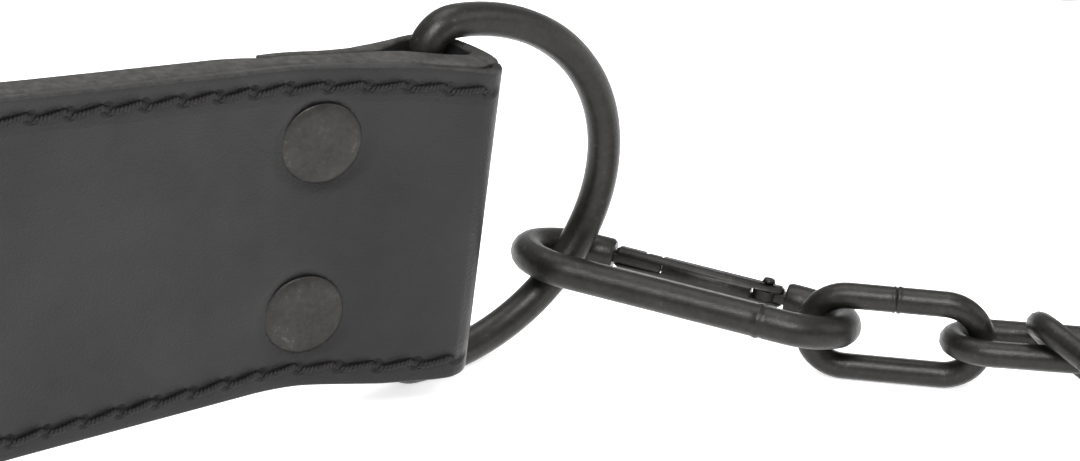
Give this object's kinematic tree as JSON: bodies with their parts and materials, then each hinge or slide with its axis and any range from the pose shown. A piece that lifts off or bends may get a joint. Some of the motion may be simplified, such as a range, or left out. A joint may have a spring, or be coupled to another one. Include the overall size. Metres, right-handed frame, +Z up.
{
  "type": "dip belt",
  "caption": "Wide leather waist belt for weighted dips, its two ends joined by snap hooks and a long-link chain that hangs a weight plate.",
  "frame": {"origin": "centre of the whole's footprint on the floor", "axes": "+X from the belt's back towards its open front and the chain, +Z up, the belt the same on both sides of Y = 0"},
  "size_m": [0.609, 0.5372, 0.1588],
  "materials": {
    "strap_leather": "thick leather, dyed and burnished edge",
    "cover_leather": "smooth full-grain outside face, satin",
    "rivet_metal": "blackened steel, satin",
    "ring_metal": "blackened steel wire, satin",
    "hook_metal": "blackened steel wire, satin",
    "gate_metal": "blackened steel, satin",
    "link_metal": "blackened steel wire, satin"
  },
  "bodies": {
    "belt": {"strap": "strap_leather", "cover": "cover_leather", "rivet_near_upper": "rivet_metal", "rivet_near_lower": "rivet_metal", "rivet_far_upper": "rivet_metal", "rivet_far_lower": "rivet_metal", "ring_near": "ring_metal", "hook_near": "hook_metal", "pin_near": "hook_metal", "ring_far": "ring_metal", "hook_far": "hook_metal", "pin_far": "hook_metal", "link_near_1": "link_metal", "link_near_2": "link_metal", "link_near_3": "link_metal", "link_near_4": "link_metal", "link_near_5": "link_metal", "link_near_6": "link_metal", "link_near_7": "link_metal", "link_near_8": "link_metal", "link_near_9": "link_metal", "link_near_10": "link_metal", "link_near_11": "link_metal", "link_near_12": "link_metal", "link_near_13": "link_metal", "link_far_1": "link_metal", "link_far_2": "link_metal", "link_far_3": "link_metal", "link_far_4": "link_metal", "link_far_5": "link_metal", "link_far_6": "link_metal", "link_far_7": "link_metal", "link_far_8": "link_metal", "link_far_9": "link_metal", "link_far_10": "link_metal", "link_far_11": "link_metal", "link_far_12": "link_metal", "link_far_13": "link_metal", "link_middle": "link_metal"},
    "gate_near": {"gate_near": "gate_metal"},
    "gate_far": {"gate_far": "gate_metal"}
  },
  "joints": [
    {"name": "gate_near_hinge", "type": "hinge", "parent": "belt", "child": "gate_near", "pos_m": [0.09978, -0.14038, 0.01357], "axis": [0.2307, 0.1109, 0.9667], "range_deg": [0, 25], "stiffness_Nm_per_rad": 0.15, "springref_deg": -20.05},
    {"name": "gate_far_hinge", "type": "hinge", "parent": "belt", "child": "gate_far", "pos_m": [0.09978, 0.14038, 0.01357], "axis": [-0.2307, 0.1109, -0.9667], "range_deg": [0, 25], "stiffness_Nm_per_rad": 0.15, "springref_deg": -20.05}
  ]
}
